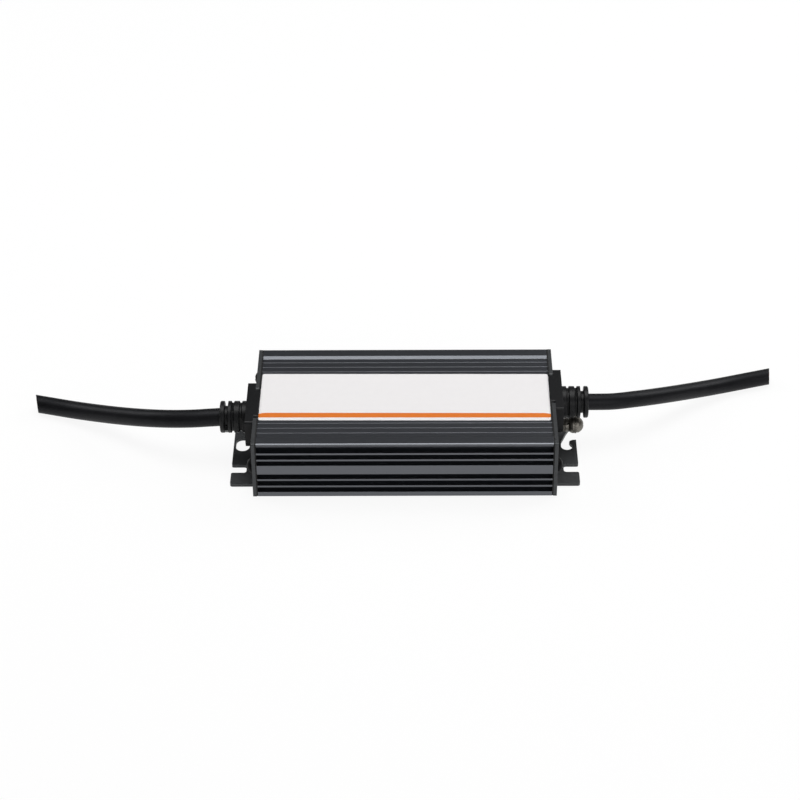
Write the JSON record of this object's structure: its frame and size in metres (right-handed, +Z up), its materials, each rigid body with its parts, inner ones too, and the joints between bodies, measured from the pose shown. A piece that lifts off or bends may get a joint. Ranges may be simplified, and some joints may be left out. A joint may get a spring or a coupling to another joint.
{
  "type": "led driver",
  "caption": "LED driver in a finned black aluminium case with slotted feet, ribbed strain reliefs and a cord at each end, an earth screw and a plain striped label.",
  "frame": {"origin": "under the middle of the case, on the surface that it stands on", "axes": "+X along the case towards the output end with the earth screw, +Y across it away from the side seen in the picture, +Z up"},
  "size_m": [0.3238, 0.0846, 0.0271],
  "materials": {
    "anodised_black": "black anodised, satin",
    "plate_black": "black powder coat, satin",
    "screw_black": "black oxide",
    "moulding_black": "matt moulded rubber",
    "cord_black": "matt rubber sheath",
    "gasket_black": "matt silicone",
    "nickel": "nickel plated",
    "label_white": "satin film label with a plain orange stripe",
    "film": "polyester film",
    "board": "solder mask on glass epoxy",
    "wire_in": "core insulation",
    "wire_out": "core insulation",
    "part_black": "moulded",
    "part_blue": "epoxy coated",
    "part_yellow": "moulded box",
    "ferrite": "bare ferrite",
    "copper": "enamelled copper",
    "tape": "polyester tape over copper",
    "sleeve_dark": "sleeved can",
    "bar": "bare",
    "pad": "silicone pad",
    "chip_white": "moulded"
  },
  "bodies": {
    "root": {"housing": "anodised_black", "input_end_plate": "plate_black", "output_end_plate": "plate_black", "input_gasket": "gasket_black", "output_gasket": "gasket_black", "end_plate_screws": "screw_black", "rating_label": "label_white", "input_strain_relief": "moulding_black", "output_strain_relief": "moulding_black", "input_cord": "cord_black", "output_cord": "cord_black", "earth_post": "nickel", "earth_lock_washer": "nickel", "earth_cup_washer": "nickel", "earth_screw": "nickel", "insulating_film": "film", "circuit_board": "board", "input_wires": "wire_in", "output_wires": "wire_out", "fuse": "part_black", "varistor": "part_blue", "inrush_thermistor": "part_black", "x_capacitor": "part_yellow", "y_capacitors": "part_blue", "line_choke_base": "part_black", "line_choke_core": "ferrite", "line_choke_windings": "copper", "bridge_rectifier": "part_black", "bulk_capacitor": "sleeve_dark", "transformer_bobbin": "part_black", "transformer_core": "ferrite", "transformer_winding": "tape", "power_transistor": "part_black", "output_rectifier": "part_black", "power_screws": "nickel", "heat_bar": "bar", "thermal_pad": "pad", "controller_chip": "part_black", "optocoupler": "chip_white", "output_capacitors": "sleeve_dark", "output_choke": "ferrite"}
  },
  "joints": []
}
